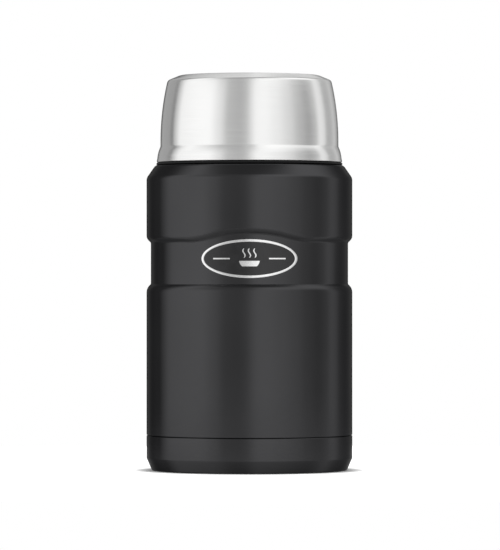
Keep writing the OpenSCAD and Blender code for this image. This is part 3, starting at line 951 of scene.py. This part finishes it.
class FOODJAR_OT_badge(Operator):
    """Build the oval badge: a black plate, a bright rim and a steaming dish"""

    bl_idname = "foodjar.badge"
    bl_label = "Badge"

    def execute(self, context):
        jar, badge = in_mm(context.scene.food_jar.jar), in_mm(context.scene.food_jar.badge)
        place, plate_top = BadgePlace(jar, badge), PLATE_LIFT + badge.thickness
        add_badge_plate(place, plate_top)
        add_badge_trim(place, badge, plate_top)
        return {"FINISHED"}


# ---- the stopper ----

GROOVE_RADIUS = 1.2  # of the round bottom of a grip groove
GROOVE_START = 1.6  # height over which a grip groove deepens
HOLLOW_MARGIN = 3.0  # from the chamber's wall to a finger hollow
HOLLOW_CORNER = 3.0  # rounding of a finger hollow's corners


def grip_grooves(sizes, foot):
    """Angles that lie closer together at each grip groove, and the shape that presses the grooves in."""
    pitch = 360.0 / sizes.groove_count
    offsets = (-1.9, -1.55, -1.2, -0.8, -0.4, 0.0, 0.4, 0.8, 1.2, 1.55, 1.9, 4.5)
    angles = np.radians([i * pitch + d for i in range(sizes.groove_count) for d in offsets])

    def shape(radius, height, where):
        nearest = np.round(np.degrees(where) / pitch) * pitch
        off = np.radians(np.degrees(where) - nearest) * sizes.skirt_outside
        depth = sizes.groove_depth - GROOVE_RADIUS + np.sqrt(np.maximum(GROOVE_RADIUS**2 - off**2, 0.0))
        depth = np.maximum(depth, 0.0) * smooth((height - foot) / GROOVE_START)
        return np.minimum(radius, sizes.skirt_outside - depth), height

    return angles, shape


def hollow_outline(sizes, grow, side, height):
    """The outline of one finger hollow: round at its corners and along the chamber, straight at the bar."""
    reach = sizes.chamber_radius - HOLLOW_MARGIN - HOLLOW_CORNER
    near = sizes.bar_width / 2 + HOLLOW_CORNER
    far = math.sqrt(reach**2 - near**2)
    spread = math.degrees(math.atan2(far, near))
    points = curve((0.0, 0.0), reach + grow, -spread, spread, 48)
    points += curve((near, far), grow, spread, 180.0, 12)[1:]
    points += [(near - grow, y) for y in np.linspace(far, -far, 25)[1:-1]]
    points += curve((near, -far), grow, -180.0, -spread, 12)[:-1]
    return [(side * x, side * y, height) for x, y in points]


def fill_top(solid, ring, holes):
    """Fills the flat top between its round edge and the edges of the finger hollows."""
    build = bmesh.new()
    edges = []
    for outline in (ring, *holes):
        verts = [build.verts.new(p) for p in outline]
        edges += [build.edges.new((a, b)) for a, b in zip(verts, verts[1:] + verts[:1])]
    bmesh.ops.triangle_fill(build, use_beauty=True, edges=edges, normal=(0.0, 0.0, 1.0))
    build.verts.index_update()
    first = len(solid.points)
    solid.points += [tuple(v.co) for v in build.verts]
    solid.faces += [tuple(first + v.index for v in face.verts) for face in build.faces]
    build.free()


def add_finger_hollows(cap, sizes, top):
    """Sinks the two finger hollows into the top, and gives back the outlines of their rims."""
    # a hollow's side, from its rounded rim to its floor: how far in, and how far down or off the floor
    rim = [(-0.3, 0.0), (0.0, 0.0), (0.12, 0.02), (0.3, 0.1), (0.5, 0.26), (0.64, 0.48), (0.72, 0.75)]
    foot = [(0.82, 0.9), (0.92, 0.55), (1.15, 0.25), (1.45, 0.07), (1.8, 0.0), (2.1, 0.0)]
    profile = rim + [(inset, sizes.recess - rise) for inset, rise in foot]
    rims = []
    for side in (-1, 1):
        rows = [hollow_outline(sizes, HOLLOW_CORNER - inset, side, top - depth) for inset, depth in profile]
        cap.net(rows, last_cap=True)
        rims.append(rows[0])
    return rims


def add_stopper_cap(sizes, screw):
    flange_r, skirt, top = node_size("stopper_cap")
    ledge = node_size("stopper_plug")[2]
    flange_top = skirt + sizes.flange
    ceiling = top - sizes.recess - sizes.top_thickness
    flat_r = sizes.chamber_radius - 1.6  # of the flat top that the finger hollows are sunk into
    outside = path(
        (sizes.skirt_inside, skirt),
        (flange_r, skirt, 0.2),
        (flange_r, flange_top, 0.2),
        (sizes.skirt_outside, flange_top, 0.1),
        (sizes.skirt_outside, top, 1.5),
        (flat_r, top),
        steps=7,
    )
    inside = path(
        (0.0, ceiling),
        (sizes.chamber_radius, ceiling, 0.8),
        (sizes.chamber_radius, ledge),
        (sizes.skirt_inside, ledge),
        (sizes.skirt_inside, skirt, 0.2),
        (sizes.skirt_inside + 0.5, skirt),
        steps=4,
    )
    skirt_foot = flange_top + 0.3
    lower, upper = cut(spaced(outside, 1.5), skirt_foot)
    collar_top = node_size("bowl_collar")[2]  # the grooves start at this height
    angles, grooved = grip_grooves(sizes, collar_top)
    cap = Solid()
    cap.turned(inside[:-1] + lower, angles, closed=False)
    cap.turned([lower[-1]] + upper, angles, grooved, closed=False)
    rims = add_finger_hollows(cap, sizes, top)
    fill_top(cap, [(flat_r * math.sin(a), -flat_r * math.cos(a), top) for a in angles], rims)
    between, start = screw.neck_start - screw.pitch / 2, screw.stopper_start
    add_ridges(cap, screw, sizes.skirt_inside, INWARD, screw.nut_start, between, sweep=60.0)
    add_ridges(cap, screw, sizes.skirt_outside, OUTWARD, start, start, sweep=90.0)
    add_piece("stopper_top", cap, "stopper", "black_plastic", "stopper_cap", sharp=40.0)


def add_stopper_plug(plug_r):
    flange_r, low, ledge = node_size("stopper_plug")
    flange_low = node_size("stopper_gasket")[2]
    section = path(
        (0.0, low + 0.5),
        (5.5, low + 0.5, 0.3),
        (6.3, low + 0.9, 0.3),
        (24.0, low + 0.9, 0.6),
        (26.0, low, 0.8),
        (plug_r, low, 2.5),
        (plug_r, flange_low, 0.2),
        (flange_r, flange_low, 0.2),
        (flange_r, ledge),
        (plug_r - 1.5, ledge),
        (plug_r - 1.5, low + 3.0, 0.5),
        (plug_r - 3.0, low + 1.5, 0.5),
        (0.0, low + 1.5),
        steps=6,
    )
    add_turned("stopper_bottom", section, "stopper", "black_plastic", "stopper_plug")


def add_gasket(inside):
    outside, low, high = node_size("stopper_gasket")
    middle = (inside + outside) / 2
    section = loop(
        (inside, low + 0.3),
        (inside + 0.5, low, 0.15),
        (middle - 0.35, low, 0.15),
        (middle, low + 0.3, 0.1),
        (middle + 0.35, low, 0.15),
        (outside - 0.4, low, 0.15),
        (outside, low + 0.4, 0.2),
        (outside, high - 0.4, 0.2),
        (outside - 0.4, high, 0.15),
        (inside, high, 0.15),
        steps=4,
    )
    add_turned("gasket_ring", section, "stopper_ring", "silicone", "stopper_gasket")


class FOODJAR_OT_stopper(Operator):
    """Build the screw stopper: its grooved cap with threads and finger hollows, its plug and its gasket"""

    bl_idname = "foodjar.stopper"
    bl_label = "Stopper"

    def execute(self, context):
        add_stopper_cap(in_mm(context.scene.food_jar.stopper), in_mm(context.scene.food_jar.screw))
        plug_r = node_size("stopper_gasket")[0] - 3.1
        add_stopper_plug(plug_r)
        add_gasket(plug_r + 0.3)
        return {"FINISHED"}


# ---- the serving bowl ----


def add_bowl_outside(bowl, middle):
    lip_r, lip_z, top = node_size("bowl_shell")
    crown_z = top - bowl.crown_height
    lean = math.asin((crown_z - middle[1]) / bowl.side_curve)
    crown_r = middle[0] + bowl.side_curve * math.cos(lean)

    # the lip band flares out in a bulge, from a soft crease under the side to a rounded lower edge
    shallow, steep = 3.0, 25.0  # degrees on the lip's curve
    outwards = np.array((math.cos(math.radians(steep)), math.sin(math.radians(steep))))
    flare_middle = np.array((bowl.side_radius, lip_z + bowl.band_height - 0.3)) - bowl.flare_curve * outwards
    flare = curve(flare_middle, bowl.flare_curve, shallow, steep, 14)
    rim = path((lip_r - 3.0, lip_z), (lip_r - 0.25, lip_z, 0.7), tuple(flare[1]))
    crease = path(tuple(flare[-4]), (*flare[-1], 2.5), (bowl.side_radius, middle[1]))
    side = curve(middle, bowl.side_curve, 0.0, math.degrees(lean) - 1.0, 14)
    crown = path(
        tuple(side[-1]),
        (crown_r, crown_z - 0.2, 2.2),
        (crown_r - bowl.crown_width, top - 0.9, 6.0),
        (0.0, top),
        steps=12,
    )
    face = rim + flare[2:-4] + crease[:-1] + side + crown[1:-1] + spaced(crown[-2:], 6.0)[1:]
    add_turned("bowl_outside", sheet(face, bowl.sheet), "bowl", "bowl_steel", "bowl_shell", around(180))


def add_bowl_inside(bowl, middle):
    lip_r, lip_z = node_size("bowl_shell")[:2]
    floor_z = bowl.floor_height
    dip = floor_z - 0.3  # the floor's middle
    radius = bowl.inside_radius - middle[0]
    stop = math.asin((floor_z - middle[1]) / radius)
    floor_r = middle[0] + radius * math.cos(stop)
    flange = path(
        (lip_r - 1.3, lip_z + bowl.sheet),
        (bowl.inside_radius, lip_z + bowl.sheet, 1.0),
        (bowl.inside_radius, middle[1]),
    )
    rise = curve(middle, radius, 0.0, 0.7 * math.degrees(stop), 12)
    corner = rounded(rise[-1], np.array((floor_r, floor_z)), np.array((0.0, floor_z)), 6.5, 12)
    floor = path(tuple(corner[-1]), (20.0, floor_z, 1.0), (19.0, dip, 1.0), (0.0, dip), steps=5)
    section = sheet(flange[:-1] + rise + corner[1:] + floor[1:], -bowl.sheet)
    add_turned("bowl_inside", section, "bowl", "bowl_steel", "bowl_inner", around(180))


def add_collar(screw, inside):
    outside, low, high = node_size("bowl_collar")
    corners = ((inside, low), (outside, low, 0.15), (outside, high, 0.3), (inside, high, 0.3))
    collar = Solid()
    collar.turned(loop(*corners, steps=4))
    between = screw.stopper_start - screw.pitch / 2
    add_ridges(collar, screw, inside, INWARD, screw.collar_start, between, sweep=60.0)
    add_piece("collar_ring", collar, "bowl", "black_plastic", "bowl_collar")


def add_bowl_seal(inside):
    outside, low, high = node_size("bowl_seal")
    section = path(
        (inside, low, 0.1),
        (outside - 0.2, low, 0.1),
        (outside, low + 0.3, 0.1),
        (outside, high - 0.3, 0.1),
        (outside - 0.2, high, 0.1),
        (inside, high),
        steps=4,
    )
    add_turned("seal_ring", section, "bowl_ring", "silicone", "bowl_seal")


class FOODJAR_OT_serving_bowl(Operator):
    """Build the steel serving bowl that is the lid, with its threaded collar and its seal ring"""

    bl_idname = "foodjar.serving_bowl"
    bl_label = "Serving bowl"

    def execute(self, context):
        bowl, screw = in_mm(context.scene.food_jar.bowl), in_mm(context.scene.food_jar.screw)
        side_start = node_size("bowl_shell")[1] + bowl.band_height + 2.0
        middle = np.array((bowl.side_radius - bowl.side_curve, side_start))
        add_bowl_outside(bowl, middle)
        add_bowl_inside(bowl, middle)
        inside = in_mm(context.scene.food_jar.stopper).skirt_outside + screw.ridge_height + 0.3
        add_collar(screw, inside)
        add_bowl_seal(inside)
        return {"FINISHED"}


# ---- parts in the vacuum space, and the stopper's foam ----

INNER_SLOTS = {
    "radiation_foil": "foil",
    "floor_foil": "foil",
    "getter": "getter_metal",
    "getter_clip": "vessel_steel",
    "vacuum_seal": "seal_metal",
    "stopper_foam": "foam",
}


class FOODJAR_OT_inner_parts(Operator):
    """Give the foils, the getter, its clip, the vacuum seal and the foam their finishes"""

    bl_idname = "foodjar.inner_parts"
    bl_label = "Inner parts"

    def execute(self, context):
        for node, slot in INNER_SLOTS.items():
            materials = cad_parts[node].data.materials
            materials.clear()
            materials.append(finish_of(slot))
        return {"FINISHED"}


# ---- the studio ----

# Light around the jar: degrees from the camera to the right, and brightness. Level with the jar, and high up
LEVEL = (
    (-180, 0.42), (-160, 0.42), (-128, 0.4), (-120, 0.24), (-112, 0.7), (-102, 1.12), (-54, 1.22),
    (-40, 0.97), (-27, 0.59), (-12, 0.53), (-4, 0.6), (2, 0.9), (8, 1.16), (20, 1.15), (36, 1.02),
    (54, 0.82), (68, 0.58), (84, 0.44), (95, 0.58), (105, 0.99), (114, 0.88), (121, 0.5), (130, 0.5),
    (144, 0.64), (156, 0.42), (180, 0.42),
)
HIGH = (
    (-180, 0.8), (-164, 0.82), (-148, 0.6), (-134, 0.2), (-121, 0.38), (-107, 0.95), (-93, 1.28),
    (-77, 1.0), (-66, 0.9), (-54, 0.72), (-40, 0.55), (-15, 0.5), (0, 0.65), (18, 1.2), (36, 1.3),
    (55, 1.25), (76, 1.2), (93, 1.29), (114, 1.33), (127, 1.25), (137, 0.85), (147, 0.3), (160, 0.36),
    (180, 0.8),
)
OVERHEAD = (0.32, 0.95)  # in front of the zenith, and behind it
FROM_BELOW = 0.45  # the share of the light that is left straight below
CARD = 0.87  # the share of the light that the dark card takes away

FLOOR_DROP = 0.00005  # metres from the jar's foot down to the floor
PAPER = 0.82  # the floor's paleness
GLOW = 0.8  # the floor's own light, where it shows as background
GLOW_IN_GLOSS = 0.3  # the share of that light that a gloss shows
SEE_THROUGH = 0.6  # the share of a gloss that looks through the floor
PAINTED_SHADOW_REACH, PAINTED_SHADOW_POWER = 0.008, 4.0  # metres over which the floor's glow fades at the jar as a painted contact shadow, and how steeply


def add_camera(context, studio):
    data = bpy.data.cameras.new("camera")
    data.lens = studio.lens
    data.sensor_width = 36.0
    data.clip_start, data.clip_end = 0.1, 20.0
    camera = bpy.data.objects.new("camera", data)
    camera.location = (studio.camera_side, -studio.camera_distance, studio.camera_height)
    camera.rotation_euler = (math.radians(90.0), 0.0, 0.0)
    context.scene.collection.objects.link(camera)
    context.scene.camera = camera


def seen(nodes, gloss=1.0):
    """1 for rays that show the background, from the camera and through glass, and a share of it in gloss."""
    rays = nodes.node("LightPath").outputs
    direct = nodes.math("MAXIMUM", rays["Is Camera Ray"], rays["Is Transmission Ray"])
    return nodes.math("MAXIMUM", direct, nodes.math("MULTIPLY", rays["Is Glossy Ray"], gloss))


def floor_paper():
    """Pale paper that glows like the background, but for a soft dark line around the jar's foot: there its
    glow fades as a painted contact shadow, over the paper's real shadow.
    """
    material = bpy.data.materials.new("floor_paper")
    nodes = Nodes(material, empty=True)
    # painted shadow: the glow is taken away near the jar's foot, as the jar's shadow would darken the floor
    # there
    painted_shadow_mask = nodes.node("AmbientOcclusion", {"Distance": PAINTED_SHADOW_REACH}, samples=8).outputs["AO"]
    glow = nodes.math("MULTIPLY", nodes.math("POWER", painted_shadow_mask, PAINTED_SHADOW_POWER), GLOW)
    strength = nodes.math("MULTIPLY", seen(nodes, GLOW_IN_GLOSS), glow)
    paper = nodes.node("BsdfDiffuse", {"Color": (PAPER, PAPER, PAPER, 1.0)}).outputs["BSDF"]
    light = nodes.node("Emission", {"Strength": strength}).outputs["Emission"]
    lit = nodes.node("AddShader", {0: paper, 1: light}).outputs["Shader"]
    # part of each gloss looks through the floor to the light behind it, as on a low stand
    glossy = nodes.node("LightPath").outputs["Is Glossy Ray"]
    clear = nodes.node("BsdfTransparent").outputs["BSDF"]
    both = nodes.node("MixShader", {0: nodes.math("MULTIPLY", glossy, SEE_THROUGH), 1: lit, 2: clear})
    nodes.node("OutputMaterial", {"Surface": both.outputs["Shader"]})
    return material


def add_floor(context, studio):
    plate = Solid()
    rings = np.linspace(0.0, studio.floor_radius, 7) / MM
    plate.turned([(r, 0.0) for r in rings], around(64), closed=False)
    floor = bpy.data.objects.new("floor", plate.to_mesh("floor", SHARP_EDGE))
    floor.location.z = -FLOOR_DROP
    context.scene.collection.objects.link(floor)
    floor.data.materials.append(floor_paper())


def ring_of_light(nodes, angle, panels):
    """The brightness around the jar, which runs softly from panel to panel."""
    ramp = nodes.node("ValToRGB", {"Fac": angle})
    ramp.color_ramp.interpolation = "EASE"
    stops = ramp.color_ramp.elements
    for i, (degrees, brightness) in enumerate(panels):
        place = degrees / 360.0 + 0.5
        stop = stops[i] if i < len(stops) - 1 else stops.new(place)
        stop.position = place
        stop.color = (brightness, brightness, brightness, 1.0)
    return nodes.node("RGBToBW", {"Color": ramp.outputs["Color"]}).outputs["Val"]


def light_world(context):
    """Light that depends on its direction alone: x to the right, y to the back and z up."""
    world = bpy.data.worlds.new("studio_light")
    context.scene.world = world
    nodes = Nodes(world, empty=True)
    split = nodes.node("SeparateXYZ", {"Vector": nodes.node("TexCoord").outputs["Generated"]}).outputs
    x, y, z = (split[axis] for axis in "XYZ")
    turned = nodes.node("CombineXYZ", {"X": nodes.math("MULTIPLY", y, -1.0), "Y": x}).outputs["Vector"]
    angle = nodes.node("TexGradient", {"Vector": turned}, gradient_type="RADIAL").outputs["Fac"]
    level, high = (ring_of_light(nodes, angle, panels) for panels in (LEVEL, HIGH))
    light = nodes.mix(level, high, nodes.ranged(z, 0.3, 0.75, 0.0, 1.0))
    overhead = nodes.ranged(y, -0.15, 0.25, *OVERHEAD)
    light = nodes.mix(light, overhead, nodes.ranged(z, 0.82, 0.95, 0.0, 1.0))
    light = nodes.math("MULTIPLY", light, nodes.ranged(z, -1.0, -0.25, FROM_BELOW, 1.0))
    # a low dark card behind the jar, which draws its outline
    card_side, card_top = nodes.ranged(y, 0.9, 0.98, 0.0, CARD), nodes.ranged(z, 0.2, 0.45, 1.0, 0.0)
    covered = nodes.math("MULTIPLY", card_side, card_top)
    light = nodes.math("MULTIPLY", light, nodes.math("SUBTRACT", 1.0, covered))
    # the white backdrop: all that the camera sees, and straight behind the jar for gloss and glass
    behind = nodes.math("MULTIPLY", seen(nodes), nodes.ranged(y, 0.996, 0.9999, 0.0, 1.0))
    camera = nodes.node("LightPath").outputs["Is Camera Ray"]
    strength = nodes.mix(light, 1.0, nodes.math("MAXIMUM", camera, behind))
    background = nodes.node("Background", {"Color": (1.0, 1.0, 1.0, 1.0), "Strength": strength})
    nodes.node("OutputWorld", {"Surface": background.outputs["Background"]})


class FOODJAR_OT_studio(Operator):
    """Build the pale floor, the surrounding light panels and the camera"""

    bl_idname = "foodjar.studio"
    bl_label = "Studio"

    def execute(self, context):
        studio = context.scene.food_jar.studio
        context.scene.view_settings.view_transform = "Standard"
        add_camera(context, studio)
        add_floor(context, studio)
        light_world(context)
        return {"FINISHED"}


# ---- the add-on ----

OPERATORS = (
    FOODJAR_OT_studio,
    FOODJAR_OT_outer_wall,
    FOODJAR_OT_base,
    FOODJAR_OT_vessel,
    FOODJAR_OT_shoulder_ring,
    FOODJAR_OT_badge,
    FOODJAR_OT_stopper,
    FOODJAR_OT_serving_bowl,
    FOODJAR_OT_inner_parts,
)


class FOODJAR_PT_sidebar(Panel):
    """Lists the steps that build the food jar"""

    bl_label = "Food jar"
    bl_idname = "FOODJAR_PT_sidebar"
    bl_space_type = "VIEW_3D"
    bl_region_type = "UI"
    bl_category = "Food jar"

    def draw(self, context):
        for operator in OPERATORS:
            self.layout.operator(operator.bl_idname)


GROUPS = (JarSizes, ScrewSizes, StopperSizes, BowlSizes, BadgeSizes, Finishes, StudioSettings, FoodJar)
CLASSES = (*GROUPS, *OPERATORS, FOODJAR_PT_sidebar)


def register():
    for cls in CLASSES:
        bpy.utils.register_class(cls)
    bpy.types.Scene.food_jar = PointerProperty(type=FoodJar)


def unregister():
    del bpy.types.Scene.food_jar
    for cls in reversed(CLASSES):
        bpy.utils.unregister_class(cls)


def main():
    register()
    for operator in OPERATORS:
        getattr(bpy.ops.foodjar, operator.bl_idname.split(".")[1])()


if __name__ == "__main__":
    main()
